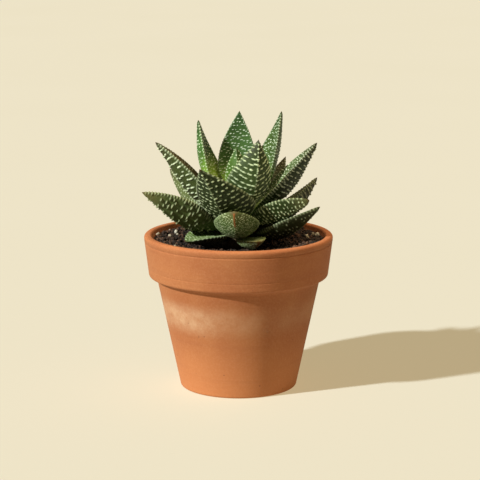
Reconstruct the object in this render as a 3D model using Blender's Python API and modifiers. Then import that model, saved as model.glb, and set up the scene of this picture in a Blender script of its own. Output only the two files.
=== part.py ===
"""A potted gasteria: terracotta pot, potting mix, and a rosette of thick leaves on a short stem.

The origin is the middle of the pot's foot, +Z is up, and -Y is the side that faces the viewer.
Dimensions are in millimetres and degrees, and are turned to metres where a mesh is made.
"""
import math
import random
from collections import namedtuple

import bmesh
import bpy
import numpy as np

MM = 0.001
GAP = 0.3

# Terracotta pot
POT_HEIGHT = 88.6
RIM_RADIUS = 54.0
RIM_THICKNESS = 4.4
OUTER_LIP = 1.8
INNER_LIP = 1.5
LIP_HEIGHT = 4.0
LIP_GROOVE = 0.55
BAND_FOOT_RADIUS = 51.5
BAND_FOOT_HEIGHT = 66.1
BAND_CORNER = 1.6
BODY_TOP_RADIUS = 46.6
BODY_TOP_HEIGHT = 62.2
FOOT_RADIUS = 33.7
FOOT_CORNER = 1.4
FOOT_RING_WIDTH = 6.0
FOOT_RECESS = 1.0
FLOOR_TOP = 6.0
INNER_FLOOR_RADIUS = 29.2
DRAIN_RADIUS = 6.0
TURN_STEPS = 48

# Potting mix
SOIL_TOP = 85.6
SOIL_DISH = 4.0
SOIL_RELIEF = 0.5
SOIL_RINGS = 8
STEM_HOLE_RADIUS = 10.3
STEM_HOLE_FLOOR = 69.0
GRAIN_COUNT = 36
GRAIN_RADII = (1.0, 1.7)
GRAIN_STRETCH = (0.8, 1.15)
GRAIN_SUNK_SHARE = 0.55
GRAIN_NEAREST = 28.0
GRAIN_FROM_WALL = 3.0
GRAIN_SEED = 11

# Stem, a cone between two heights
STEM_LOW = 83.0
STEM_LOW_RADIUS = 10.0
STEM_HIGH = 112.0
STEM_HIGH_RADIUS = 3.0
STEM_TOP = 110.8
STEM_SHOULDER = 1.5
ROOTSTOCK_RADIUS = 7.5
ROOTSTOCK_TAPER = 4.0
STEM_STEPS = 24

# What every leaf shares
LEAF_SEGMENTS = 16
LEAF_RINGS = 17
LAST_RING = 0.985
NECK = 0.42
BELLY = 0.40
SEAT_DEPTH = 0.42
DEEPEST = 0.42
MARGIN = 0.5
CHANNEL = 0.22
KEEL = 0.85
TUBERCLE_HEIGHT = 0.55
DOT_HEIGHT = 0.2
FIRST_TUBERCLE_RING = 4
YOUNG_LEAVES = 5
GROWN_LEAVES = 11

Leaf = namedtuple("Leaf", "azimuth height lean bend length width depth sway roll blunt")

# From the youngest leaf at the top of the stem to the oldest at the soil. The azimuth is counted
# from +X towards +Y, the height is that of the leaf's seat on the stem, the lean is the mean
# angle above level, and the bend is how far the leaf's arc turns either way from it. The sway
# is the tip's drift to the left seen from the stem, the roll turns the section about the leaf,
# and a blunt value under 1 rounds the tip.
LEAVES = (
    Leaf(269, 109, 84, 10, 31, 14.5, 4, -1.2, -2, 1),  # heart, front
    Leaf(95, 108.5, 70, 13, 51.5, 22, 4, -2.5, 2, 1),  # upright, back
    Leaf(290, 105, 66, 8, 44.8, 26.5, 9, 3.4, 0, 1.15),  # upright, front right
    Leaf(46, 105, 63, 8, 58, 23.5, 6, -4, 31, 1),  # upright, back right
    Leaf(149, 104, 68, 6, 52.5, 24.5, 5.5, 2.5, -26, 1),  # upright, back left
    Leaf(112, 101, 24, 1, 39.5, 19.5, 3, -1.5, 10, 1),  # back, left of the middle
    Leaf(259.5, 100, 44, 10, 45.3, 31, 9.5, -14.5, -3, 1),  # broad, front left
    Leaf(1, 100, 47, -8, 56, 21.5, 8, 0.5, -5, 1),  # high right
    Leaf(54, 98, 36, 12, 50.5, 17, 5, 0, 0, 1),  # back right
    Leaf(183, 97.5, 47, -19, 59.5, 22, 8.5, -10, 2, 1),  # high left
    Leaf(328, 96.5, 22, -9, 39.5, 21.5, 6, 4.5, 35, 0.65),  # low right, turned over
    Leaf(78, 95, 25, 11, 46, 20, 3, 1, -12, 1),  # back, right of the middle
    Leaf(141, 94.5, 34, 6, 49, 20, 7, 4, -30, 1),  # back left
    Leaf(200, 93, 25, -7, 56.2, 21, 9.5, 5, -41, 1),  # low left, turned over
    Leaf(25, 92.5, 31, 3, 49, 20.5, 7.5, -0.5, 22, 1),  # right
    Leaf(268, 92.5, 26, 2, 36, 25.5, 6.5, -1, 0, 0.5),  # front, pointing at the viewer
    Leaf(92, 90, 18, 2, 45, 18, 3.5, 1.5, 0, 1),  # low back
    Leaf(336, 89, 24.5, -1, 43.7, 18.5, 7, 3, 6, 1),  # low right
    Leaf(137, 88.5, 16, 2, 47, 16.5, 4, 2, -2, 1),  # low back left
    Leaf(220, 88, -3, -38, 25.5, 21, 6.5, -7, 7, 0.7),  # on the soil, front left
    Leaf(49, 87.5, 15, -4, 42, 17, 3.5, -1, -2, 1),  # low back right
    Leaf(292, 87.5, 4, -11, 21, 17, 4.5, 0, -3, 0.6),  # on the soil, front right
)


def linear(hex_colour):
    """An sRGB hex colour such as #A05C38 as linear red, green, blue and alpha."""
    shares = [int(hex_colour[i:i + 2], 16) / 255.0 for i in (1, 3, 5)]
    return [s / 12.92 if s <= 0.04045 else ((s + 0.055) / 1.055) ** 2.4 for s in shares] + [1.0]


def material(name, hex_colour, roughness):
    """A plain opaque material."""
    look = bpy.data.materials.new(name)
    look.use_nodes = True
    shader = look.node_tree.nodes["Principled BSDF"]
    shader.inputs["Base Color"].default_value = linear(hex_colour)
    shader.inputs["Roughness"].default_value = roughness
    shader.inputs["Metallic"].default_value = 0.0
    look.diffuse_color = linear(hex_colour)
    return look


def collection(name):
    """A new collection in the scene."""
    made = bpy.data.collections.new(name)
    bpy.context.scene.collection.children.link(made)
    return made


def place(name, mesh, group, look):
    """A smooth-shaded object for a finished mesh."""
    obj = bpy.data.objects.new(name, mesh)
    group.objects.link(obj)
    mesh.materials.clear()
    mesh.materials.append(look)
    mesh.shade_smooth()
    mesh.set_sharp_from_angle(angle=math.radians(50.0))
    return obj


def rise(low, high, value):
    """0 below low, 1 above high, and a smooth S between them."""
    share = np.clip((value - low) / (high - low), 0.0, 1.0)
    return share * share * (3.0 - 2.0 * share)


def arc(centre_r, centre_z, radius, start, end, count):
    """Points (r, z) on an arc, from one angle to another, counted from +R towards +Z."""
    angles = np.radians(np.linspace(start, end, count))
    return [(centre_r + radius * math.cos(a), centre_z + radius * math.sin(a)) for a in angles]


def turned_mesh(name, profile, steps, closed, group):
    """The mesh of a profile of (r, z) points swept round Z. The profile runs down its outer side."""
    mesh = bpy.data.meshes.new(name)
    edges = [(i, i + 1) for i in range(len(profile) - 1)]
    if closed:
        edges.append((len(profile) - 1, 0))
    mesh.from_pydata([(r * MM, 0.0, z * MM) for r, z in profile], edges, [])
    guide = bpy.data.objects.new(name + "_profile", mesh)
    group.objects.link(guide)
    screw = guide.modifiers.new("Turn", "SCREW")
    screw.axis = "Z"
    screw.steps = steps
    screw.render_steps = steps
    screw.use_merge_vertices = True
    screw.merge_threshold = 0.00001
    bpy.context.view_layer.update()
    seen = guide.evaluated_get(bpy.context.evaluated_depsgraph_get())
    solid = bpy.data.meshes.new_from_object(seen)
    bpy.data.objects.remove(guide, do_unlink=True)
    solid.name = name
    return solid


def pot_inner_radius(height):
    """The inner wall widens evenly from the floor to the lip."""
    share = (height - FLOOR_TOP) / (POT_HEIGHT - FLOOR_TOP)
    return INNER_FLOOR_RADIUS + share * (RIM_RADIUS - RIM_THICKNESS - INNER_FLOOR_RADIUS)


def make_pot(group):
    """A pot thrown in one piece: lip, straight rim band, tapering body, foot ring and drain hole."""
    lip_foot = POT_HEIGHT - LIP_HEIGHT
    inner_edge = RIM_RADIUS - RIM_THICKNESS
    profile = [(inner_edge + INNER_LIP, POT_HEIGHT)]
    profile += arc(RIM_RADIUS - OUTER_LIP, POT_HEIGHT - OUTER_LIP, OUTER_LIP, 90.0, 0.0, 4)
    profile += [(RIM_RADIUS - 0.1, lip_foot + LIP_GROOVE)]
    profile += [(RIM_RADIUS - LIP_GROOVE, lip_foot)]
    profile += [(RIM_RADIUS - 0.5 * LIP_GROOVE, lip_foot - LIP_GROOVE)]
    profile += [(BAND_FOOT_RADIUS + 0.2, BAND_FOOT_HEIGHT + BAND_CORNER)]
    profile += arc(BAND_FOOT_RADIUS - BAND_CORNER, BAND_FOOT_HEIGHT, BAND_CORNER, 0.0, -80.0, 4)
    profile += [(BODY_TOP_RADIUS + 0.7, BAND_FOOT_HEIGHT - 1.5 * BAND_CORNER)]
    profile += [(BODY_TOP_RADIUS, BODY_TOP_HEIGHT)]
    profile += arc(FOOT_RADIUS - FOOT_CORNER, FOOT_CORNER, FOOT_CORNER, 0.0, -90.0, 3)
    recess_edge = FOOT_RADIUS - FOOT_CORNER - FOOT_RING_WIDTH
    profile += [(recess_edge, 0.0), (recess_edge - FOOT_RECESS, FOOT_RECESS)]
    profile += [(DRAIN_RADIUS, FOOT_RECESS), (DRAIN_RADIUS, FLOOR_TOP)]
    profile += [(INNER_FLOOR_RADIUS, FLOOR_TOP)]
    inner_lip = POT_HEIGHT - INNER_LIP
    below_lip = inner_lip - INNER_LIP
    profile += [(pot_inner_radius(below_lip), below_lip)]
    profile += arc(inner_edge + INNER_LIP, inner_lip, INNER_LIP, 180.0, 120.0, 3)
    mesh = turned_mesh("pot", profile, TURN_STEPS, True, group)
    return place("pot", mesh, group, material("Terracotta", "#C47A4C", 0.85))


def soil_level(radius):
    """The mix is highest at the wall and lies a little lower round the stem."""
    share = (radius - STEM_HOLE_RADIUS) / (pot_inner_radius(SOIL_TOP) - STEM_HOLE_RADIUS)
    return SOIL_TOP - SOIL_DISH * (1.0 - rise(0.3, 0.95, share))


def make_soil(group, cutters):
    """Potting mix that fills the pot, with a rough top, a hole for the stem and raised grains."""
    outer_top = pot_inner_radius(SOIL_TOP) - GAP
    surface = np.linspace(STEM_HOLE_RADIUS, outer_top, SOIL_RINGS + 1)
    profile = [(0.0, STEM_HOLE_FLOOR), (STEM_HOLE_RADIUS, STEM_HOLE_FLOOR)]
    profile += [(radius, soil_level(radius)) for radius in surface]
    profile += [(INNER_FLOOR_RADIUS - GAP, FLOOR_TOP + GAP), (0.0, FLOOR_TOP + GAP)]
    mesh = turned_mesh("soil", profile, TURN_STEPS, False, group)
    draw = random.Random(GRAIN_SEED)
    low = (STEM_HOLE_RADIUS + 1.0) * MM
    high = (outer_top - 1.0) * MM
    surface_foot = (SOIL_TOP - SOIL_DISH - 0.1) * MM
    for vert in mesh.vertices:
        if vert.co.z > surface_foot and low < vert.co.xy.length < high:
            vert.co.z += draw.uniform(-SOIL_RELIEF, SOIL_RELIEF) * MM
    soil = place("soil", mesh, group, material("Potting mix", "#3A2A22", 0.95))
    for _ in range(GRAIN_COUNT):
        radius = math.sqrt(draw.uniform(GRAIN_NEAREST ** 2, (outer_top - GRAIN_FROM_WALL) ** 2))
        angle = draw.uniform(0.0, 2.0 * math.pi)
        size = draw.uniform(*GRAIN_RADII)
        grain = bmesh.new()
        bmesh.ops.create_icosphere(grain, subdivisions=1, radius=size * MM)
        for vert in grain.verts:
            vert.co *= draw.uniform(*GRAIN_STRETCH)
        grain_mesh = bpy.data.meshes.new("grain")
        grain.to_mesh(grain_mesh)
        grain.free()
        cutter = bpy.data.objects.new("grain", grain_mesh)
        level = soil_level(radius) + (1.0 - 2.0 * GRAIN_SUNK_SHARE) * size
        cutter.location = (radius * math.cos(angle) * MM, radius * math.sin(angle) * MM, level * MM)
        cutter.rotation_euler = [draw.uniform(0.0, 3.0) for _ in range(3)]
        cutter.hide_render = True
        cutter.display_type = "WIRE"
        cutters.objects.link(cutter)
    union = soil.modifiers.new("Grains", "BOOLEAN")
    union.operation = "UNION"
    union.operand_type = "COLLECTION"
    union.collection = cutters
    union.solver = "EXACT"
    bpy.context.view_layer.update()
    seen = soil.evaluated_get(bpy.context.evaluated_depsgraph_get())
    joined = bpy.data.meshes.new_from_object(seen)
    soil.modifiers.clear()
    soil.data = joined
    for cutter in list(cutters.objects):
        bpy.data.objects.remove(cutter, do_unlink=True)
    return soil


def stem_radius(height):
    """The stem narrows evenly from the soil to its top."""
    share = (height - STEM_LOW) / (STEM_HIGH - STEM_LOW)
    return STEM_LOW_RADIUS + share * (STEM_HIGH_RADIUS - STEM_LOW_RADIUS)


def make_stem(group):
    """The short stem, from its rootstock in the potting mix to a rounded top."""
    shoulder = STEM_TOP - STEM_SHOULDER
    foot = STEM_HOLE_FLOOR + GAP
    profile = [(0.0, STEM_TOP)]
    profile += [(stem_radius(shoulder) - 0.6 * STEM_SHOULDER, STEM_TOP - 0.2 * STEM_SHOULDER)]
    profile += [(stem_radius(shoulder), shoulder), (STEM_LOW_RADIUS, STEM_LOW)]
    profile += [(ROOTSTOCK_RADIUS, foot + ROOTSTOCK_TAPER)]
    profile += [(ROOTSTOCK_RADIUS - 0.5 * ROOTSTOCK_TAPER, foot), (0.0, foot)]
    mesh = turned_mesh("stem", profile, STEM_STEPS, False, group)
    return place("stem", mesh, group, material("Stem", "#8A8F55", 0.7))


def leaf_surface(leaf, along, around):
    """Points of a leaf in mm, along it from 0 at the seat to 1 at the tip, and around its section.

    The spine is an arc in the upright plane of the leaf's azimuth, drifting sideways by the sway.
    A section's upper face is a shallow channel. Its lower face is round near the seat and turns
    into a keel towards the tip. The width swells from the neck to the belly and falls as a sine
    to the tip, and the depth does the same with its deepest place nearer the seat.
    """
    azimuth = math.radians(leaf.azimuth)
    start = math.radians(leaf.lean - leaf.bend)
    turn = math.radians(2.0 * leaf.bend) or 0.0001
    outward = np.array([math.cos(azimuth), math.sin(azimuth), 0.0])
    aside = np.array([-math.sin(azimuth), math.cos(azimuth), 0.0])
    upward = np.array([0.0, 0.0, 1.0])
    angle = start + turn * along
    seat = stem_radius(leaf.height) + GAP + MARGIN * math.sin(start)
    reach = seat + leaf.length * (np.sin(angle) - math.sin(start)) / turn
    climb = leaf.height + leaf.length * (math.cos(start) - np.cos(angle)) / turn
    drift = leaf.sway * along ** 2
    spine = reach[:, None] * outward + climb[:, None] * upward + drift[:, None] * aside
    upper = np.cos(angle)[:, None] * upward - np.sin(angle)[:, None] * outward
    roll = (math.radians(leaf.roll) * along ** 0.7)[:, None]
    across = aside * np.cos(roll) - upper * np.sin(roll)
    normal = upper * np.cos(roll) + aside * np.sin(roll)
    past_belly = np.clip((1.0 - along) / (1.0 - BELLY), 0.0, 1.0)
    fall = np.sin(np.pi / 2.0 * past_belly) ** leaf.blunt
    swell = NECK + (1.0 - NECK) * rise(0.0, BELLY, along)
    half_width = leaf.width / 2.0 * np.where(along < BELLY, swell, fall)
    past_deepest = np.clip((1.0 - along) / (1.0 - DEEPEST), 0.0, 1.0)
    taper = np.sin(np.pi / 2.0 * past_deepest) ** (0.85 * leaf.blunt)
    thicken = SEAT_DEPTH + (1.0 - SEAT_DEPTH) * rise(0.0, DEEPEST, along)
    depth = leaf.depth * np.where(along < DEEPEST, thicken, taper)
    side = np.cos(around)
    top = np.sin(around)
    margin = np.minimum(MARGIN, 0.5 * half_width + 0.05)
    channel = CHANNEL * half_width * rise(0.0, 0.3, along) * (1.0 - 0.75 * rise(0.6, 1.0, along))
    keel = KEEL * rise(0.15, 0.6, along)
    round_belly = np.sqrt(np.clip(1.0 - side ** 2, 0.0, 1.0))
    keeled_belly = (1.0 - np.abs(side)) ** 0.85
    belly = (1.0 - keel) * round_belly + keel * keeled_belly
    hollow = channel * (1.0 - side ** 2)
    lower = margin * top - 0.75 * hollow - depth * belly
    height = np.where(top >= 0.0, margin * top - hollow, lower)
    return spine + (half_width * side)[:, None] * across + height[:, None] * normal


def make_leaf(name, leaf, group, look):
    """One closed leaf: a sphere's rings drawn out along it, and every other point raised.

    The raised points are the tubercles: high ones on the lower face, low dots on the upper face.
    """
    shape = bmesh.new()
    bmesh.ops.create_uvsphere(shape, u_segments=LEAF_SEGMENTS, v_segments=LEAF_RINGS + 1, radius=1.0)
    ball = np.array([vert.co for vert in shape.verts])
    latitude = np.arccos(np.clip(-ball[:, 2], -1.0, 1.0)) / math.pi
    ring = np.rint(latitude * (LEAF_RINGS + 1)).astype(int)
    longitude = np.arctan2(ball[:, 1], ball[:, 0]) / (2.0 * math.pi)
    segment = np.rint(longitude * LEAF_SEGMENTS).astype(int) % LEAF_SEGMENTS
    along = np.clip((ring - 1) / (LEAF_RINGS - 1), 0.0, 1.0) * LAST_RING
    along[ring == LEAF_RINGS + 1] = 1.0
    around = 2.0 * math.pi * segment / LEAF_SEGMENTS
    points = leaf_surface(leaf, along, around)
    points[ring == 0] = points[ring == 1].mean(axis=0)
    for vert, point in zip(shape.verts, points):
        vert.co = point * MM
    shape.normal_update()
    raised = set()
    half_turn = LEAF_SEGMENTS // 2
    for vert, row, step in zip(shape.verts, ring, segment):
        in_rows = FIRST_TUBERCLE_RING <= row <= LEAF_RINGS - 2
        on_margin = step % half_turn == 0
        if in_rows and not on_margin and (row + step) % 2 == 0:
            raised.add(vert)
            height = DOT_HEIGHT if step < half_turn else TUBERCLE_HEIGHT
            vert.co += vert.normal * height * MM
    for face in list(shape.faces):
        low = [vert for vert in face.verts if vert not in raised]
        if len(face.verts) == 4 and len(low) == 2:
            bmesh.utils.face_split(face, low[0], low[1])
    mesh = bpy.data.meshes.new(name)
    shape.to_mesh(mesh)
    shape.free()
    return place(name, mesh, group, look)


for old in list(bpy.data.objects):
    bpy.data.objects.remove(old, do_unlink=True)

parts = collection("Potted gasteria")
grains = collection("Grains to join")
make_pot(parts)
make_soil(parts, grains)
make_stem(parts)
young = material("Young leaf", "#5E8A3A", 0.45)
grown = material("Grown leaf", "#3F5B33", 0.5)
aged = material("Aged leaf", "#55522F", 0.55)
looks = [young] * YOUNG_LEAVES + [grown] * GROWN_LEAVES
looks += [aged] * (len(LEAVES) - len(looks))
for rank, (leaf, look) in enumerate(zip(LEAVES, looks), start=1):
    make_leaf(f"leaf_{rank:02d}", leaf, parts, look)
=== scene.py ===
"""A potted gasteria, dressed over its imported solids: terracotta pot, potting mix, stem and leaves.

The origin is the middle of the pot's foot, +Z is up and -Y faces the viewer. Shapes are worked
out in millimetres and put into their meshes in metres.
"""

import math
from collections import namedtuple

import bpy
import numpy as np
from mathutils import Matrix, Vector


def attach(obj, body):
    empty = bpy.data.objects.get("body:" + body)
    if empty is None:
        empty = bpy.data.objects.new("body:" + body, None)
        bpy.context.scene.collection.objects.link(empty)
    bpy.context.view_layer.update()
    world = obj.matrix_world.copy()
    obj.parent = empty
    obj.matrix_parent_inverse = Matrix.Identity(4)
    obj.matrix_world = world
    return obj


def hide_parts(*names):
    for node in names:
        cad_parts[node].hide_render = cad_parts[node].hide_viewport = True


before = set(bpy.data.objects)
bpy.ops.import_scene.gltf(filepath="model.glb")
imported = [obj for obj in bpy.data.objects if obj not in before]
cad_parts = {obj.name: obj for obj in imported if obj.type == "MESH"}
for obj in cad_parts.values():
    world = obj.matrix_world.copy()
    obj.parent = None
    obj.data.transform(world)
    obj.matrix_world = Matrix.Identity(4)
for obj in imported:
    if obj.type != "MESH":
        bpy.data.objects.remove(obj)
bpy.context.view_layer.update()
MM = 0.001

# The pot is one piece of unglazed terracotta: red earthenware turned on a jigger, its straight
# rim band left thicker than the body, then fired once. Salt from watering has dried into a pale
# bloom under the band, and small pits show where grit came out of the clay.
POT_HEIGHT, RIM_RADIUS, RIM_THICKNESS = 88.6, 54.0, 4.4
FLOOR_TOP, INNER_FLOOR_RADIUS = 6.0, 29.2
FOOT_RECESS, DRAIN_RADIUS = 1.0, 6.0
INNER_EDGE = RIM_RADIUS - RIM_THICKNESS
POT_STEPS = 256


def arc(centre_r, centre_z, radius, start, end, count):
    """Points (r, z) at one distance from a centre, from one angle to another, from +R to +Z."""
    angles = np.radians(np.linspace(start, end, count))
    return np.stack([centre_r + radius * np.cos(angles), centre_z + radius * np.sin(angles)], 1)


def pot_inner_radius(height):
    """The inner wall widens evenly from the floor to the lip."""
    share = (height - FLOOR_TOP) / (POT_HEIGHT - FLOOR_TOP)
    return INNER_FLOOR_RADIUS + share * (INNER_EDGE - INNER_FLOOR_RADIUS)


def rise(low, high, value):
    """0 below low, 1 above high, and between them 3 s^2 - 2 s^3 of the share s."""
    share = np.clip((value - low) / (high - low), 0.0, 1.0)
    return share * share * (3.0 - 2.0 * share)


def turned(profile, steps):
    """A profile (r, z) carried round Z: x = r cos a, y = r sin a, for even angles a."""
    angles = np.linspace(0.0, 2.0 * np.pi, steps, endpoint=False)
    radius, height = profile[:, :1], profile[:, 1:]
    level = np.broadcast_to(height, (len(profile), steps))
    return np.stack([radius * np.cos(angles), radius * np.sin(angles), level], -1)


def new_piece(name, points, faces):
    """An object with smooth shading: its faces join points given in millimetres."""
    mesh = bpy.data.meshes.new(name)
    mesh.from_pydata((points * MM).tolist(), [], faces)
    mesh.shade_smooth()
    piece = bpy.data.objects.new(name, mesh)
    bpy.context.scene.collection.objects.link(piece)
    return piece


def skin(name, points, loop=False, caps=False):
    """A piece whose faces join the neighbours on a grid of points.

    The grid's second way always closes on itself. A loop closes its first way too, and caps
    close its two ends with fans to their middles.
    """
    rows, columns = points.shape[:2]
    index = np.arange(rows * columns).reshape(rows, columns)
    around = np.hstack([index, index[:, :1]])
    if loop:
        around = np.vstack([around, around[:1]])
    corners = [around[:-1, :-1], around[:-1, 1:], around[1:, 1:], around[1:, :-1]]
    faces = np.stack(corners, -1).reshape(-1, 4).tolist()
    flat = points.reshape(-1, 3)
    if caps:
        flat = np.vstack([flat, points[0].mean(0), points[-1].mean(0)])
        low, high = np.full(columns, rows * columns), np.full(columns, rows * columns + 1)
        first, last = around[0], around[-1]
        faces += np.stack([low, first[1:], first[:-1]], -1).tolist()
        faces += np.stack([high, last[:-1], last[1:]], -1).tolist()
    return new_piece(name, flat, faces)


def linear(hex_colour):
    """An sRGB hex colour such as #A05C38 as linear red, green, blue and alpha."""
    shares = [int(hex_colour[i:i + 2], 16) / 255.0 for i in (1, 3, 5)]
    return [s / 12.92 if s <= 0.04045 else ((s + 0.055) / 1.055) ** 2.4 for s in shares] + [1.0]


def add(tree, kind, inputs=(), output=0, **settings):
    """Adds a node with its settings and its inputs, each a value or a link; gives one output."""
    node = tree.nodes.new(kind)
    for name, value in settings.items():
        setattr(node, name, value)
    for socket, value in dict(inputs).items():
        if isinstance(value, bpy.types.NodeSocket):
            tree.links.new(value, node.inputs[socket])
        else:
            node.inputs[socket].default_value = value
    return node.outputs[output]


def new_material(name, roughness, ior):
    """An opaque material's node tree and shader, with the constants set on the shader."""
    look = bpy.data.materials.new(name)
    look.use_nodes = True
    shader = look.node_tree.nodes["Principled BSDF"]
    shader.inputs["Roughness"].default_value = roughness
    shader.inputs["IOR"].default_value = ior
    return look, look.node_tree, shader


# Settings that many nodes share: a mix of colours, and a range with soft ends.
COLOURS, EASED = {"data_type": "RGBA"}, {"interpolation_type": "SMOOTHSTEP"}


def terracotta():
    """Unglazed fired earthenware: matt, chalky and warm, with clouds of paler and deeper clay."""
    look, tree, shader = new_material("Terracotta", 0.86, 1.5)
    place = add(tree, "ShaderNodeTexCoord", output="Object")
    across = add(tree, "ShaderNodeSeparateXYZ", {0: place}, 0)
    height = add(tree, "ShaderNodeSeparateXYZ", {0: place}, 2)
    # Clouds about 25 mm wide, and grain about 1 mm wide, coarser than the clay's so that it shows.
    clouds = add(tree, "ShaderNodeTexNoise", {"Vector": place, "Scale": 38.0, "Detail": 4.0})
    clouds = add(tree, "ShaderNodeMapRange", {0: clouds, 1: 0.35, 2: 0.68}, **EASED)
    grain = add(tree, "ShaderNodeTexNoise", {"Vector": place, "Scale": 900.0, "Detail": 2.0})
    chalk = add(tree, "ShaderNodeMapRange", {0: grain, 1: 0.35, 2: 0.8, 4: 0.16}, **EASED)
    # Turning lines run round the pot, so their pattern is stretched level: 2 mm high, 60 mm long.
    flat = add(tree, "ShaderNodeMapping", {"Vector": place, "Scale": (16.0, 16.0, 500.0)})
    lines = add(tree, "ShaderNodeTexNoise", {"Vector": flat, "Scale": 1.0, "Detail": 3.0})
    scored = add(tree, "ShaderNodeMapRange", {0: lines, 1: 0.5, 2: 0.75, 4: 0.12}, **EASED)
    clay = add(tree, "ShaderNodeMix", {0: clouds, 6: linear("#9A582C"), 7: linear("#A26234")}, 2,
               **COLOURS)
    # The clay is a lighter orange towards the foot: painted bounce light from the warm floor.
    foot = add(tree, "ShaderNodeMapRange", {0: height, 1: 0.045, 2: 0.0, 4: 0.75}, **EASED)
    clay = add(tree, "ShaderNodeMix", {0: foot, 6: clay, 7: linear("#BC7440")}, 2, **COLOURS)
    clay = add(tree, "ShaderNodeMix", {0: chalk, 6: clay, 7: linear("#C48A5E")}, 2, **COLOURS)
    clay = add(tree, "ShaderNodeMix", {0: scored, 6: clay, 7: linear("#884A2A")}, 2, **COLOURS)
    # Salt bloom: a cloudy ring 39 to 53 mm up, strongest at the left and thin at the right.
    above = add(tree, "ShaderNodeMapRange", {0: height, 1: 0.0575, 2: 0.0475}, **EASED)
    below = add(tree, "ShaderNodeMapRange", {0: height, 1: 0.034, 2: 0.0445}, **EASED)
    ring = add(tree, "ShaderNodeMath", {0: above, 1: below}, operation="MULTIPLY")
    wisps = add(tree, "ShaderNodeTexNoise", {"Vector": place, "Scale": 70.0, "Detail": 8.0,
                                             "Roughness": 0.72})
    wisps = add(tree, "ShaderNodeMapRange", {0: wisps, 1: 0.3, 2: 0.68, 3: 0.15, 4: 0.7}, **EASED)
    left = add(tree, "ShaderNodeMapRange", {0: across, 1: 0.02, 2: -0.04, 3: 0.22}, **EASED)
    bloom = add(tree, "ShaderNodeMath", {0: ring, 1: left}, operation="MULTIPLY")
    bloom = add(tree, "ShaderNodeMath", {0: bloom, 1: wisps}, operation="MULTIPLY")
    clay = add(tree, "ShaderNodeMix", {0: bloom, 6: clay, 7: linear("#CDAA84")}, 2, **COLOURS)
    # Pits about 0.8 mm wide and 9 mm apart.
    cells = add(tree, "ShaderNodeTexVoronoi", {"Vector": place, "Scale": 110.0}, "Distance")
    pits = add(tree, "ShaderNodeMapRange", {0: cells, 1: 0.055, 2: 0.03, 4: 0.6}, **EASED)
    clay = add(tree, "ShaderNodeMix", {0: pits, 6: clay, 7: linear("#5C3020")}, 2, **COLOURS)
    tree.links.new(clay, shader.inputs["Base Color"])
    rough = add(tree, "ShaderNodeMath", {0: grain, 1: lines})
    rough = add(tree, "ShaderNodeMath", {0: rough, 1: pits}, operation="SUBTRACT")
    bump = add(tree, "ShaderNodeBump", {"Height": rough, "Distance": 0.0003, "Strength": 0.3})
    tree.links.new(bump, shader.inputs["Normal"])
    return look


# The profile goes from the lip down the outside, under the foot to the drain hole, and back up
# the inside. The band has a groove under the lip and a finer one near its lower edge.
rim_band = [[53.9, 85.15], [53.45, 84.6], [53.725, 84.05], [53.67, 83.6], [52.07, 70.7],
            [52.02, 70.3], [51.88, 70.05], [51.95, 69.8], [51.9, 69.3], [51.7, 67.7]]
foot_ring = [[26.3, 0.0], [25.3, FOOT_RECESS], [DRAIN_RADIUS, FOOT_RECESS],
             [DRAIN_RADIUS, FLOOR_TOP], [INNER_FLOOR_RADIUS, FLOOR_TOP]]
pot_profile = np.vstack([
    arc(52.2, 86.8, 1.8, 90.0, 0.0, 9), rim_band,
    arc(49.9, 66.1, 1.6, 0.0, -80.0, 8), [[47.3, 63.7], [46.6, 62.2]],
    arc(32.3, 1.4, 1.4, 0.0, -90.0, 7), foot_ring, [[pot_inner_radius(85.6), 85.6]],
    arc(51.1, 87.1, 1.5, 180.0, 90.0, 8)])
pot = skin("terracotta_pot", turned(pot_profile[::-1], POT_STEPS), loop=True)
pot.data.set_sharp_from_angle(angle=math.radians(50.0))
pot.data.materials.append(terracotta())
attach(pot, "root")
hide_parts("pot")

# The potting mix is peat and bark fines with mineral grit and a little perlite, pressed in by
# hand round the roots. Its top is a loose crumb that stands highest at the wall of the pot.
GAP = 0.3
SOIL_TOP, SOIL_DISH, STEM_HOLE_RADIUS, STEM_HOLE_FLOOR = 85.6, 4.0, 10.3, 69.0
SOIL_STEPS, SOIL_RINGS = 300, 84
LUMP_PITCH, LUMP_TALL, CRUMB_PITCH, CRUMB_TALL, CRUMB_SINK = 3.4, 1.5, 1.5, 0.6, 0.8
soil_edge = pot_inner_radius(SOIL_TOP) - GAP


def soil_level(radius):
    """The mix is level at the wall and dips smoothly to a dish round the stem."""
    share = (radius - STEM_HOLE_RADIUS) / (pot_inner_radius(SOIL_TOP) - STEM_HOLE_RADIUS)
    return SOIL_TOP - SOIL_DISH * (1.0 - rise(0.3, 0.95, share))


def scatter(row, column, key):
    """A number from 0 to 1 for each cell: what a large multiple of a sine leaves past a whole."""
    value = np.sin(row * 12.9898 + column * 78.233 + key * 37.719) * 43758.5453
    return value - np.floor(value)


def crumb(x, y, pitch, key):
    """Height from 0 to 1 of round crumbs, one a cell of a square grid of that pitch.

    A crumb is the part above zero of 1 - (distance / radius)^2, and the highest one shows.
    """
    best = np.zeros_like(x)
    for step_x in (-1, 0, 1):
        for step_y in (-1, 0, 1):
            column, row = np.floor(x / pitch) + step_x, np.floor(y / pitch) + step_y
            centre_x = (column + scatter(row, column, key)) * pitch
            centre_y = (row + scatter(row, column, key + 1)) * pitch
            radius = pitch * (0.35 + 0.45 * scatter(row, column, key + 2))
            far = ((x - centre_x) ** 2 + (y - centre_y) ** 2) / radius ** 2
            tall = 0.4 + 0.6 * scatter(row, column, key + 3)
            best = np.maximum(best, tall * np.sqrt(np.clip(1.0 - far, 0.0, 1.0)))
    return best


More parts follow.
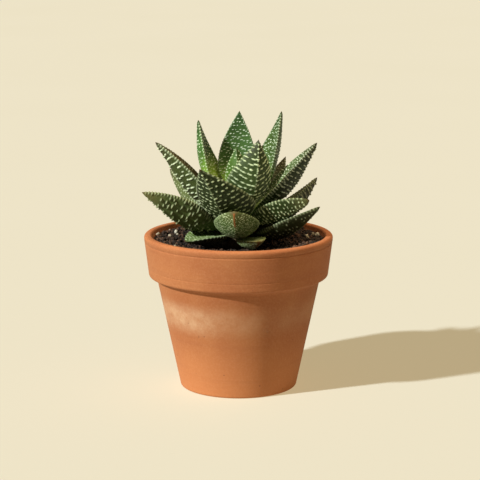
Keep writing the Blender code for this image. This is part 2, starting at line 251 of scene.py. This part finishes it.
def potting_mix(name, dark, pale, dust_share):
    """Damp crumbs of peat and grit: dull, nearly black in the hollows, each with its own tone."""
    look, tree, shader = new_material(name, 0.92, 1.4)
    place = add(tree, "ShaderNodeTexCoord", output="Object")
    tone = add(tree, "ShaderNodeAttribute", output="Fac", attribute_name="tone")
    # Fibres and dust about 0.7 mm wide.
    dust = add(tree, "ShaderNodeTexNoise", {"Vector": place, "Scale": 1400.0, "Detail": 3.0})
    dusty = add(tree, "ShaderNodeMapRange", {0: dust, 1: 0.4, 2: 0.75, 4: dust_share}, **EASED)
    colour = add(tree, "ShaderNodeMix", {0: tone, 6: linear(dark), 7: linear(pale)}, 2, **COLOURS)
    colour = add(tree, "ShaderNodeMix", {0: dusty, 6: colour, 7: linear("#15100C")}, 2, **COLOURS)
    tree.links.new(colour, shader.inputs["Base Color"])
    bump = add(tree, "ShaderNodeBump", {"Height": dust, "Distance": 0.0004, "Strength": 0.6})
    tree.links.new(bump, shader.inputs["Normal"])
    return look


def give(piece, name, values):
    """Puts one number a vertex into an attribute of a piece's mesh."""
    piece.data.attributes.new(name, "FLOAT", "POINT").data.foreach_set(
        "value", np.asarray(values, np.float32).ravel())


rings = np.linspace(soil_edge, STEM_HOLE_RADIUS, SOIL_RINGS)
soil_profile = np.vstack([[[INNER_FLOOR_RADIUS - GAP, FLOOR_TOP + GAP]],
                          np.stack([rings, soil_level(rings)], 1),
                          [[STEM_HOLE_RADIUS, STEM_HOLE_FLOOR]]])
soil_points = turned(soil_profile, SOIL_STEPS)
top = soil_points[1:-1]
top_x, top_y = top[..., 0], top[..., 1]
lumps = LUMP_TALL * crumb(top_x, top_y, LUMP_PITCH, 1)
lumps = lumps + CRUMB_TALL * crumb(top_x, top_y, CRUMB_PITCH, 9)
inside = rise(0.0, 0.8, soil_edge - rings) * rise(0.0, 1.2, rings - STEM_HOLE_RADIUS)
top[..., 2] += (lumps - CRUMB_SINK) * inside[:, None]
soil = skin("potting_mix", soil_points, caps=True)
speck = scatter(np.floor(top_x / CRUMB_PITCH), np.floor(top_y / CRUMB_PITCH), 5) ** 3
tones = np.zeros(soil_points.shape[:2])
tones[1:-1] = speck * rise(0.3, 1.2, lumps)
give(soil, "tone", np.append(tones.ravel(), [0.0, 0.0]))
soil.data.materials.append(potting_mix("Potting mix", "#1D140E", "#4C3524", 0.5))
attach(soil, "root")
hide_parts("soil")

# Loose grains lie on the mix: bark and lava grit in browns, and a few white beads of perlite,
# which is volcanic glass puffed up by heat.
GRAINS_FROM = 14.0
OCTAHEDRON = np.array([[1, 0, 0], [-1, 0, 0], [0, 1, 0], [0, -1, 0], [0, 0, 1], [0, 0, -1]], float)
OCTANTS = [(0, 2, 4), (2, 1, 4), (1, 3, 4), (3, 0, 4), (2, 0, 5), (1, 2, 5), (3, 1, 5), (0, 3, 5)]


def pebble_shape():
    """A ball of 32 faces: an octahedron with each edge halved and pushed out to radius 1."""
    points, faces, middles = list(OCTAHEDRON), [], {}
    for corners in OCTANTS:
        halves = []
        for first, second in zip(corners, corners[1:] + corners[:1]):
            edge = tuple(sorted((first, second)))
            if edge not in middles:
                middle = OCTAHEDRON[first] + OCTAHEDRON[second]
                middles[edge] = len(points)
                points.append(middle / np.linalg.norm(middle))
            halves.append(middles[edge])
        faces += [(corners[0], halves[0], halves[2]), (corners[1], halves[1], halves[0]),
                  (corners[2], halves[2], halves[1]), tuple(halves)]
    return np.array(points), np.array(faces)


def pebbles(name, places, sizes, uneven, draw):
    """Pebbles at places, each a ball stretched three ways, roughened by uneven and turned."""
    ball, faces = pebble_shape()
    count = len(places)
    stretch = draw.uniform(0.65, 1.15, (count, 1, 3))
    rough = 1.0 + draw.uniform(-uneven, uneven, (count, len(ball), 1))
    turn, tip = draw.uniform(0.0, 2.0 * np.pi, (2, count, 1))
    x, y, z = np.moveaxis(ball * stretch * rough * sizes[:, None, None], -1, 0)
    y, z = y * np.cos(tip) - z * np.sin(tip), y * np.sin(tip) + z * np.cos(tip)
    x, y = x * np.cos(turn) - y * np.sin(turn), x * np.sin(turn) + y * np.cos(turn)
    points = np.stack([x, y, z], -1) + places[:, None]
    every = faces[None] + len(ball) * np.arange(count)[:, None, None]
    piece = new_piece(name, points.reshape(-1, 3), every.reshape(-1, 3).tolist())
    give(piece, "tone", np.repeat(draw.uniform(0.0, 1.0, count) ** 1.6, len(ball)))
    return piece


def on_soil(radius, angle, sizes, lift):
    """Places on the mix at radii and angles, inside the wall, with centres lifted by a share."""
    radius = np.clip(radius, GRAINS_FROM, soil_edge - 1.1 * sizes)
    height = soil_level(radius) + lift * sizes
    return np.stack([radius * np.cos(angle), radius * np.sin(angle), height], 1)


# Grit is spread evenly. The perlite floated together when the plant was watered, so most of it
# lies in two drifts, one at each side of the rosette.
GRITS, BEADS = 1100, 14
DRIFT_AZIMUTHS, DRIFT_RADIUS, DRIFT_SPREAD = (162.0, 6.0, 0.0), 41.5, 3.2
draw = np.random.default_rng(7)
grit_sizes = draw.uniform(0.45, 1.35, GRITS)
grit_radius = np.sqrt(draw.uniform(GRAINS_FROM ** 2, (soil_edge - 1.2) ** 2, GRITS))
grit_places = on_soil(grit_radius, draw.uniform(0.0, 2.0 * np.pi, GRITS), grit_sizes, 0.35)
grit = pebbles("soil_grit", grit_places, grit_sizes, 0.12, draw)
grit.data.materials.append(potting_mix("Bark and lava grit", "#19110B", "#634632", 0.5))
bead_sizes = draw.uniform(0.85, 1.7, BEADS)
# Every third bead lies at any azimuth instead of in a drift.
kind = np.arange(BEADS) % 3
drift = np.radians(np.choose(kind, DRIFT_AZIMUTHS))
drift += np.where(kind == 2, draw.uniform(0.0, 2.0 * np.pi, BEADS), draw.normal(0.0, 0.12, BEADS))
bead_radius = draw.normal(DRIFT_RADIUS, DRIFT_SPREAD, BEADS)
bead_places = on_soil(bead_radius, drift, bead_sizes, 0.7)
beads = pebbles("perlite", bead_places, bead_sizes, 0.07, draw)
beads.data.materials.append(potting_mix("Perlite", "#BDB7A4", "#8E8066", 0.15))
for piece in (grit, beads):
    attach(piece, "root")

# The stem is a short fleshy cone, pale green where the leaves clasp it and corky below. The
# leaves hide nearly all of it, so the solid stands for it and only its finish is added.
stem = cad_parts["stem"]


def stem_skin():
    """Living stem: waxy and pale green, browner towards the soil, with cork flecks 1.5 mm wide."""
    look, tree, shader = new_material("Stem", 0.6, 1.42)
    place = add(tree, "ShaderNodeTexCoord", output="Object")
    height = add(tree, "ShaderNodeSeparateXYZ", {0: place}, 2)
    clasp = add(tree, "ShaderNodeMapRange", {0: height, 1: 0.084, 2: 0.104}, **EASED)
    flecks = add(tree, "ShaderNodeTexNoise", {"Vector": place, "Scale": 650.0, "Detail": 3.0})
    corky = add(tree, "ShaderNodeMapRange", {0: flecks, 1: 0.45, 2: 0.7, 4: 0.5}, **EASED)
    colour = add(tree, "ShaderNodeMix", {0: clasp, 6: linear("#4E3C24"), 7: linear("#67803A")}, 2,
                 **COLOURS)
    colour = add(tree, "ShaderNodeMix", {0: corky, 6: colour, 7: linear("#5A4628")}, 2, **COLOURS)
    tree.links.new(colour, shader.inputs["Base Color"])
    bump = add(tree, "ShaderNodeBump", {"Height": flecks, "Distance": 0.0003, "Strength": 0.5})
    tree.links.new(bump, shader.inputs["Normal"])
    return look


stem.data.materials.clear()
stem.data.materials.append(stem_skin())

# Each leaf is a thick wedge of water-filled flesh in a tough, waxy green skin. It grows straight
# out of the stem. White tubercles stand on it in cross rows, high and long on the keeled
# underside and small on the hollow upper face, and line its margins.
STEM_LOW, STEM_LOW_RADIUS, STEM_HIGH, STEM_HIGH_RADIUS = 83.0, 10.0, 112.0, 3.0

# Shares: the width at the seat and the place of the widest part, the same two for the depth, the
# depth of the upper face's channel in the half width, and how far the underside is a keel. MARGIN
# is half the thickness near the margins, in mm.
NECK, BELLY, SEAT_DEPTH, DEEPEST, CHANNEL, KEEL = 0.42, 0.40, 0.42, 0.42, 0.22, 0.85
MARGIN = 0.5
RING_PITCH, UNDER_STEPS, UPPER_STEPS, TIP_CROWDING, LAST_RING = 0.32, 60, 34, 1.2, 0.994
TOOTH_PITCH, KEEL_TOOTH_PITCH = 1.7, 1.9

# Shares of the length between which tubercles rise at the seat and fall at the tip, the keel's
# teeth rise, and a scar begins.
SEAT_FADE, TIP_FADE, KEEL_FADE, SCAR_FADE = (0.06, 0.2), (0.94, 0.98), (0.3, 0.5), (0.76, 0.83)
SCARRED = (16, 22)

# A leaf's azimuth, mean lean up from level, bend to each side of that and roll are in degrees, and
# its height, length, width, depth and sidewards sway in mm. A blunt below 1 fills out the tip.
# A tint has the flesh's colours at the seat, under the middle, at the tip and on the upper face,
# the tubercles' colour, how strong it is on the underside and on the upper face, and how far up
# the leaf the colour of the seat reaches.
Leaf = namedtuple("Leaf", "azimuth height lean bend length width depth sway roll blunt")
Wart = namedtuple("Wart", "row step long wide tall fill slant stray keel")
Tint = namedtuple("Tint", "base middle tip face wart under_white face_white lime")

# Tubercles in mm: the pitch of their rows and in a row, half their length and width, their
# height, the share of places that bear one, how far a row falls back at 1 mm from the keel, or
# runs ahead where that is below zero, which grows as the square of the distance, the share of the
# pitch by which one may stray from its row, and how tall the keel's own teeth are beside them.
DASHES = Wart(2.6, 2.7, 1.35, 0.47, 0.5, 1.0, -0.016, 0.3, 0.6)
FINE = Wart(2.2, 2.7, 1.05, 0.32, 0.42, 0.96, 0.013, 0.35, 0.3)
BEADED = Wart(2.9, 2.3, 1.4, 0.58, 0.8, 0.8, 0.02, 0.5, 0.12)
RIDGES = Wart(2.7, 2.0, 1.05, 0.52, 1.0, 0.66, 0.02, 0.8, 0.15)
ARCS = Wart(2.7, 3.0, 1.5, 0.5, 0.8, 0.9, 0.012, 0.4, 0.6)
STREAKS = Wart(1.9, 2.1, 0.95, 0.38, 0.5, 0.95, 0.012, 0.4, 0.1)
NET = Wart(1.3, 1.35, 0.6, 0.32, 0.2, 0.95, 0.02, 0.5, 0.0)
DOTS = Wart(2.1, 2.0, 0.58, 0.4, 0.35, 0.85, 0.0, 0.5, 0.2)
FACE_DOTS = Wart(2.1, 1.9, 0.55, 0.36, 0.22, 0.8, 0.0, 0.5, 0.0)
FACE_DASHES = Wart(2.0, 2.1, 0.68, 0.33, 0.25, 0.92, 0.006, 0.75, 0.0)

HEART = Tint("#84A436", "#446418", "#2A4818", "#3E601A", "#D4E2B4", 0.95, 0.9, 0.6)
BACK = Tint("#7FA62C", "#36541E", "#344E2A", "#42602E", "#D6E4CA", 0.95, 0.95, 0.5)
YOUNG = Tint("#84AC30", "#344A20", "#3A4A2C", "#3E5424", "#D0DEBE", 0.95, 0.95, 0.5)
# Leaf 05's seat is its own yellow-green made brighter still and reaching far up: partly real colour,
# partly painted light on a seat that lies in shade.
SIDE_PAINTED_LIGHT = Tint("#AED046", "#42682A", "#2A421C", "#2C461C", "#DAE6C0", 0.95, 0.95, 0.7)
BUD = Tint("#5A7828", "#35441C", "#2C2E17", "#3A5426", "#C2D0A2", 0.95, 0.8, 0.3)
HIGH = Tint("#5A7030", "#243012", "#34361C", "#4E5E38", "#DCE4C6", 0.7, 0.95, 0.3)
GROWN = Tint("#425A24", "#364018", "#38361C", "#463A22", "#CCD6B0", 0.95, 0.65, 0.3)
BROAD = Tint("#384C1E", "#222C12", "#222812", "#2E3C20", "#BECA9C", 0.82, 0.6, 0.3)
FRONT = Tint("#34461C", "#2C3A16", "#545632", "#34482A", "#C0CC9E", 0.88, 0.6, 0.3)
LOW = Tint("#34461C", "#282C14", "#34381C", "#34482A", "#A2AA84", 0.6, 0.6, 0.3)
OLIVE = Tint("#44582A", "#445028", "#625E38", "#4E5436", "#B4BC92", 0.5, 0.6, 0.3)
PALE = Tint("#5C6E32", "#5E6A3A", "#4C4A2E", "#606E40", "#CCD4AE", 0.85, 0.9, 0.3)
DUSKY = Tint("#344420", "#30341A", "#3E3822", "#40442A", "#B0B492", 0.65, 0.6, 0.3)
LYING = Tint("#42582A", "#4C6230", "#565F34", "#667A3A", "#C6D2A4", 0.95, 0.85, 0.2)
# Leaf 20's seat and underside are painted near black, with faint tubercle tops: painted shade of the
# hollow under the curled leaf. Its upper face and tip keep their own greens.
CURLED_PAINTED_SHADE = Tint("#1C2812", "#12190A", "#4A5A2C", "#5C7234", "#C6D2A4", 0.2, 0.85, 0.2)
# Leaf 22 is painted paler than its own green: painted light on a small leaf that lies in the shade
# of the leaves above it.
NEAR_PAINTED_LIGHT = Tint("#8A9E4A", "#96AA5E", "#A09A62", "#A2BA6A", "#D6E2BA", 0.9, 0.85, 0.2)

# One row a leaf, youngest first: its shape, the tubercles of its underside and upper face, and
# its colours.
LEAVES = (
    (Leaf(269, 109, 84, 10, 31, 14.5, 4, -1.2, -2, 1), FACE_DASHES, FACE_DOTS, HEART),
    (Leaf(95, 108.5, 70, 13, 51.5, 22, 4, -2.5, 2, 1), DASHES, FACE_DASHES, BACK),
    (Leaf(290, 105, 66, 8, 44.8, 26.5, 9, 3.4, 0, 1.15), DASHES, FACE_DOTS, BUD),
    (Leaf(46, 105, 63, 8, 58, 23.5, 6, -4, 31, 1), DOTS, FACE_DASHES, YOUNG),
    (Leaf(149, 104, 68, 6, 52.5, 24.5, 5.5, 2.5, -26, 1), DOTS, FACE_DASHES, SIDE_PAINTED_LIGHT),
    (Leaf(112, 101, 24, 1, 39.5, 19.5, 3, -1.5, 10, 1), BEADED, FACE_DOTS, GROWN),
    (Leaf(259.5, 100, 44, 10, 45.3, 31, 9.5, -14.5, -3, 1), FINE, FACE_DOTS, BROAD),
    (Leaf(1, 100, 47, -8, 56, 21.5, 8, 0.5, -5, 1), ARCS, FACE_DASHES, HIGH),
    (Leaf(54, 98, 36, 12, 50.5, 17, 5, 0, 0, 1), DOTS, FACE_DOTS, DUSKY),
    (Leaf(183, 97.5, 47, -19, 59.5, 22, 8.5, -10, 2, 1), BEADED, FACE_DOTS, GROWN),
    (Leaf(328, 96.5, 22, -9, 39.5, 21.5, 6, 4.5, 35, 0.65), STREAKS, FACE_DOTS, FRONT),
    (Leaf(78, 95, 25, 11, 46, 20, 3, 1, -12, 1), BEADED, FACE_DOTS, GROWN),
    (Leaf(141, 94.5, 34, 6, 49, 20, 7, 4, -30, 1), DOTS, FACE_DOTS, PALE),
    (Leaf(200, 93, 25, -7, 56.2, 21, 9.5, 5, -41, 1), RIDGES, FACE_DOTS, OLIVE),
    (Leaf(25, 92.5, 31, 3, 49, 20.5, 7.5, -0.5, 22, 1), BEADED, FACE_DOTS, DUSKY),
    (Leaf(268, 92.5, 26, 2, 36, 25.5, 6.5, -1, 0, 0.5), NET, FACE_DOTS, LYING),
    (Leaf(92, 90, 18, 2, 45, 18, 3.5, 1.5, 0, 1), BEADED, FACE_DOTS, GROWN),
    (Leaf(336, 89, 24.5, -1, 43.7, 18.5, 7, 3, 6, 1), DOTS, FACE_DOTS, LOW),
    (Leaf(137, 88.5, 16, 2, 47, 16.5, 4, 2, -2, 1), DOTS, FACE_DOTS, DUSKY),
    (Leaf(220, 88, -3, -38, 25.5, 21, 6.5, -7, 7, 0.7), NET, NET, CURLED_PAINTED_SHADE),
    (Leaf(49, 87.5, 15, -4, 42, 17, 3.5, -1, -2, 1), BEADED, FACE_DOTS, GROWN),
    (Leaf(292, 87.5, 4, -11, 21, 17, 4.5, 0, -3, 0.6), NET, NET, NEAR_PAINTED_LIGHT),
)


def stem_radius(height):
    """The stem narrows evenly from the soil to its top."""
    share = (height - STEM_LOW) / (STEM_HIGH - STEM_LOW)
    return STEM_LOW_RADIUS + share * (STEM_HIGH_RADIUS - STEM_LOW_RADIUS)


def leaf_surface(leaf, along, side, upper_face):
    """Points of a leaf, from its seat (along 0) to its tip (1), at a share of its half width.

    The spine is an arc in the upright plane of the leaf's azimuth, drifting sideways by the sway.
    The upper face is a shallow channel. The underside is round near the seat and turns into a
    keel towards the tip. The width swells from the neck to the belly and falls as a sine to the
    tip, and the depth does the same with its deepest place nearer the seat.
    """
    azimuth = math.radians(leaf.azimuth)
    start = math.radians(leaf.lean - leaf.bend)
    # A straight leaf turns too little to see, because the arc is worked out by dividing by this.
    turn = math.radians(2.0 * leaf.bend) or 0.0001
    outward = np.array([math.cos(azimuth), math.sin(azimuth), 0.0])
    aside = np.array([-math.sin(azimuth), math.cos(azimuth), 0.0])
    upward = np.array([0.0, 0.0, 1.0])
    angle = start + turn * along
    seat = stem_radius(leaf.height) + GAP + MARGIN * math.sin(start)
    reach = seat + leaf.length * (np.sin(angle) - math.sin(start)) / turn
    climb = leaf.height + leaf.length * (math.cos(start) - np.cos(angle)) / turn
    drift = leaf.sway * along ** 2
    spine = reach[..., None] * outward + climb[..., None] * upward + drift[..., None] * aside
    upper = np.cos(angle)[..., None] * upward - np.sin(angle)[..., None] * outward
    roll = (math.radians(leaf.roll) * along ** 0.7)[..., None]
    across = aside * np.cos(roll) - upper * np.sin(roll)
    normal = upper * np.cos(roll) + aside * np.sin(roll)
    fall = np.sin(np.pi / 2.0 * np.clip((1.0 - along) / (1.0 - BELLY), 0.0, 1.0)) ** leaf.blunt
    swell = NECK + (1.0 - NECK) * rise(0.0, BELLY, along)
    half_width = leaf.width / 2.0 * np.where(along < BELLY, swell, fall)
    taper = np.sin(np.pi / 2.0 * np.clip((1.0 - along) / (1.0 - DEEPEST), 0.0, 1.0))
    thicken = SEAT_DEPTH + (1.0 - SEAT_DEPTH) * rise(0.0, DEEPEST, along)
    depth = leaf.depth * np.where(along < DEEPEST, thicken, taper ** (0.85 * leaf.blunt))
    round_belly = np.sqrt(np.clip(1.0 - side ** 2, 0.0, 1.0))
    margin = np.minimum(MARGIN, 0.5 * half_width + 0.05) * round_belly
    keel = KEEL * rise(0.15, 0.6, along)
    belly = (1.0 - keel) * round_belly + keel * (1.0 - np.abs(side)) ** 0.85
    channel = CHANNEL * half_width * rise(0.0, 0.3, along) * (1.0 - 0.75 * rise(0.6, 1.0, along))
    hollow = channel * (1.0 - side ** 2)
    height = np.where(upper_face, margin - hollow, -margin - 0.75 * hollow - depth * belly)
    return spine + (half_width * side)[..., None] * across + height[..., None] * normal, half_width


def outward_of(points):
    """Unit normals of a leaf's grid: the cross of its differences round and along it."""
    ahead = np.gradient(points, axis=0)
    beside = np.roll(points, -1, axis=1) - np.roll(points, 1, axis=1)
    normal = np.cross(beside, ahead)
    return normal / np.maximum(np.linalg.norm(normal, axis=-1, keepdims=True), 1e-9)


def warts(run, reach, wart, key):
    """Height from 0 to 1 of domes in staggered rows, run mm along the leaf and reach mm across.

    A dome is the eased part above zero of 1 - (run / wide)^2 - (reach / long)^2 about its middle,
    which lies near the middle of its cell. Where long ones meet, they join into a ridge.
    """
    run = run + wart.slant * reach ** 2
    best = np.zeros_like(run)
    for row_step in (-1, 0, 1):
        row = np.floor(run / wart.row) + row_step
        shift = 0.5 * (row % 2.0)
        for column_step in (-1, 0, 1):
            column = np.floor(reach / wart.step - shift) + column_step
            chance = [scatter(row, column, key + number) for number in range(5)]
            middle_run = (row + 0.5 + wart.stray * (chance[0] - 0.5)) * wart.row
            middle_reach = (column + shift + 0.5 + 0.5 * (chance[1] - 0.5)) * wart.step
            wide = wart.wide * (0.7 + 0.6 * chance[2])
            long = wart.long * (0.5 + 0.9 * chance[3])
            far = ((run - middle_run) / wide) ** 2 + ((reach - middle_reach) / long) ** 2
            best = np.maximum(best, (chance[4] < wart.fill) * rise(0.0, 1.0, 1.0 - far))
    return best


def leaf_skin(name, tint):
    """Waxy leaf skin, paler and yellower at the seat, with bare white tops on the tubercles."""
    look, tree, shader = new_material(name, 0.5, 1.42)
    shader.inputs["Specular IOR Level"].default_value = 0.18
    place = add(tree, "ShaderNodeTexCoord", output="Object")
    along, upper, pale, edge, scar = [
        add(tree, "ShaderNodeAttribute", output="Fac", attribute_name=key)
        for key in ("along", "upper", "pale", "edge", "scar")]
    # Mottling about 5 mm wide, and skin cells about 0.5 mm wide, drawn coarser than real ones.
    mottle = add(tree, "ShaderNodeTexNoise", {"Vector": place, "Scale": 190.0, "Detail": 3.0})
    mottle = add(tree, "ShaderNodeMapRange", {0: mottle, 1: 0.38, 2: 0.7, 4: 0.35}, **EASED)
    cells = add(tree, "ShaderNodeTexNoise", {"Vector": place, "Scale": 1900.0, "Detail": 1.0})
    # Waxy flecks about 1 mm wide.
    flecks = add(tree, "ShaderNodeTexNoise", {"Vector": place, "Scale": 950.0, "Detail": 2.0})
    flecks = add(tree, "ShaderNodeMapRange", {0: flecks, 1: 0.52, 2: 0.74, 4: 0.16}, **EASED)
    # The seat takes the leaf's own yellow-green. Leaf 05's seat colour is partly painted light, and
    # leaf 20's is painted shade.
    seat = add(tree, "ShaderNodeMapRange", {0: along, 1: tint.lime, 2: 0.06}, **EASED)
    tip = add(tree, "ShaderNodeMapRange", {0: along, 1: 0.7, 2: 1.0}, **EASED)
    dry = add(tree, "ShaderNodeMapRange", {0: along, 1: 0.975, 2: 0.995, 4: 0.6}, **EASED)
    colour = add(tree, "ShaderNodeMix", {0: upper, 6: linear(tint.middle), 7: linear(tint.face)},
                 2, **COLOURS)
    for share, layer in ((mottle, "#161F0E"), (seat, tint.base), (tip, tint.tip),
                         (flecks, "#7E8A5C"), (edge, "#74805A"), (pale, tint.wart),
                         (dry, "#54402A"), (scar, "#8C5228")):
        colour = add(tree, "ShaderNodeMix", {0: share, 6: colour, 7: linear(layer)}, 2, **COLOURS)
    tree.links.new(colour, shader.inputs["Base Color"])
    bump = add(tree, "ShaderNodeBump", {"Height": cells, "Distance": 0.0001, "Strength": 0.4})
    tree.links.new(bump, shader.inputs["Normal"])
    return look


def grow(rank, leaf, under, over, tint):
    """One leaf: its surface on a grid finer than its tubercles, which are raised along normals.

    Small teeth run along both margins and along the keel, where the rows of tubercles end.
    """
    rings = round(leaf.length / RING_PITCH)
    along = 1.0 - (1.0 - np.linspace(0.0, LAST_RING, rings)) ** TIP_CROWDING
    lower_side = np.linspace(-1.0, 1.0, UNDER_STEPS + 1)
    upper_side = np.linspace(1.0, -1.0, UPPER_STEPS + 1)[1:-1]
    side = np.append(lower_side, upper_side)
    upper_face = np.arange(len(side)) > UNDER_STEPS
    along, side, upper_face = np.broadcast_arrays(along[:, None], side, upper_face)
    points, half_width = leaf_surface(leaf, along, side, upper_face)
    run, reach = leaf.length * along, half_width * side
    from_margin = half_width * (1.0 - np.abs(side))
    shown = rise(*SEAT_FADE, along) * (1.0 - rise(*TIP_FADE, along))
    inner = rise(0.1, 0.9, from_margin) * shown
    low = warts(run, reach, under, 31 * rank) * inner
    high = warts(run, reach, over, 31 * rank + 7) * inner
    rim = (1.0 - rise(0.2, 0.75, from_margin)) * shown
    teeth = rim * rise(-0.2, 0.9, np.sin(2.0 * np.pi * run / TOOTH_PITCH + 3.0 * np.sign(side)))
    spine = np.where(upper_face, 0.0, 1.0 - rise(0.2, 0.6, np.abs(reach)))
    spine = spine * shown * rise(*KEEL_FADE, along)
    spine = spine * rise(-0.1, 0.8, np.sin(2.0 * np.pi * run / KEEL_TOOTH_PITCH))
    low = np.maximum(low, under.keel * spine)
    lift = np.where(upper_face, over.tall * high, under.tall * low) + 0.5 * under.tall * teeth
    points = points + outward_of(points) * lift[..., None]
    piece = skin(f"leaf_skin_{rank:02d}", points, caps=True)
    give(piece, "along", np.append(along.ravel(), [0.0, 1.0]))
    give(piece, "upper", np.append(upper_face.ravel(), [0.0, 0.0]))
    pale = np.where(upper_face, tint.face_white * rise(0.12, 0.65, high),
                    tint.under_white * rise(0.15, 0.7, low))
    give(piece, "pale", np.append(np.maximum(pale, 0.5 * teeth).ravel(), [0.0, 0.0]))
    crease = np.where(upper_face, 0.0, 1.0 - rise(0.15, 0.55, np.abs(reach)))
    crease = 0.35 * crease * shown * rise(*KEEL_FADE, along)
    give(piece, "edge", np.append(np.maximum(0.25 * rim, crease).ravel(), [0.0, 0.0]))
    # Two old leaves have a rusty scar where the end of the keel was rubbed.
    scar = (rank in SCARRED) * rise(*SCAR_FADE, along) * (1.0 - rise(0.25, 0.7, np.abs(reach)))
    give(piece, "scar", np.append(np.where(upper_face, 0.0, 0.85 * scar).ravel(), [0.0, 0.0]))
    piece.data.materials.append(leaf_skin(f"Leaf skin {rank:02d}", tint))
    return piece


for rank, (leaf, under, over, tint) in enumerate(LEAVES, start=1):
    piece = grow(rank, leaf, under, over, tint)
    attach(piece, "root")
    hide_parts(f"leaf_{rank:02d}")

# The studio: a plain cream card that runs out of view, a small lamp at the left in front, and a
# broad warm one overhead. The card glows evenly instead of taking the overhead light, so the
# pot's foot stands on clean card and the shadow on it stays warm.
FLOOR_HALF, FLOOR_GLOW = 8000.0, 0.46


def studio_floor():
    """Smooth matt card in cream, lit through from behind, with clouds too faint to see."""
    look, tree, shader = new_material("Floor card", 0.9, 1.4)
    place = add(tree, "ShaderNodeTexCoord", output="Object")
    clouds = add(tree, "ShaderNodeTexNoise", {"Vector": place, "Scale": 3.0, "Detail": 1.0})
    colour = add(tree, "ShaderNodeMix", {0: clouds, 6: linear("#B0B0A9"), 7: linear("#ADADA5")},
                 2, **COLOURS)
    tree.links.new(colour, shader.inputs["Base Color"])
    shader.inputs["Emission Color"].default_value = linear("#FFE6B2")
    shader.inputs["Emission Strength"].default_value = FLOOR_GLOW
    return look


corners = FLOOR_HALF * np.array([[-1, -1, 0], [1, -1, 0], [1, 1, 0], [-1, 1, 0]])
floor = new_piece("floor", corners, [(0, 1, 2, 3)])
floor.data.materials.append(studio_floor())


def lamp(name, azimuth, elevation, strength, spread, colour):
    """A lamp too far off to fade with distance, from an azimuth and elevation in degrees.

    The spread is the angle that the lamp fills, in degrees: a wide one gives soft shadows.
    """
    data = bpy.data.lights.new(name, "SUN")
    data.energy, data.angle, data.color = strength, math.radians(spread), colour
    azimuth, elevation = math.radians(azimuth), math.radians(elevation)
    towards = Vector((math.cos(azimuth) * math.cos(elevation),
                      math.sin(azimuth) * math.cos(elevation), math.sin(elevation)))
    made = bpy.data.objects.new(name, data)
    made.rotation_euler = towards.to_track_quat("Z", "Y").to_euler()
    bpy.context.scene.collection.objects.link(made)
    return made


lamp("key", 210.5, 32.5, 5.25, 2.5, (0.95, 1.0, 1.0))
overhead = lamp("overhead", 10.0, 81.0, 3.4, 60.0, (1.0, 0.8, 0.54))
# The overhead lamp leaves out the floor card, which has its own glow.
unlit = bpy.data.collections.new("not_lit_from_overhead")
unlit.objects.link(floor)
unlit.collection_objects[0].light_linking.link_state = "EXCLUDE"
overhead.light_linking.receiver_collection = unlit

world = bpy.data.worlds.new("studio")
world.use_nodes = True
world.node_tree.nodes["Background"].inputs["Color"].default_value = linear("#FFF0D8")
world.node_tree.nodes["Background"].inputs["Strength"].default_value = 0.07
bpy.context.scene.world = world
bpy.context.scene.view_settings.view_transform = "Standard"

# The camera stands 1 m off and looks down by 11.2 degrees, as a fit to the photograph's circles
# of rim, band and foot gave.
CAMERA_AIM, CAMERA_DISTANCE = Vector((0.00087, 0.0, 0.08469)), 1.0
CAMERA_ELEVATION, CAMERA_SENSOR, CAMERA_LENS = math.radians(11.2), 36.0, 130.84
camera_data = bpy.data.cameras.new("camera")
camera_data.sensor_width = CAMERA_SENSOR
camera_data.lens = CAMERA_LENS
camera = bpy.data.objects.new("camera", camera_data)
back = Vector((0.0, -math.cos(CAMERA_ELEVATION), math.sin(CAMERA_ELEVATION)))
camera.location = CAMERA_AIM + CAMERA_DISTANCE * back
camera.rotation_euler = back.to_track_quat("Z", "Y").to_euler()
bpy.context.scene.collection.objects.link(camera)
bpy.context.scene.camera = camera
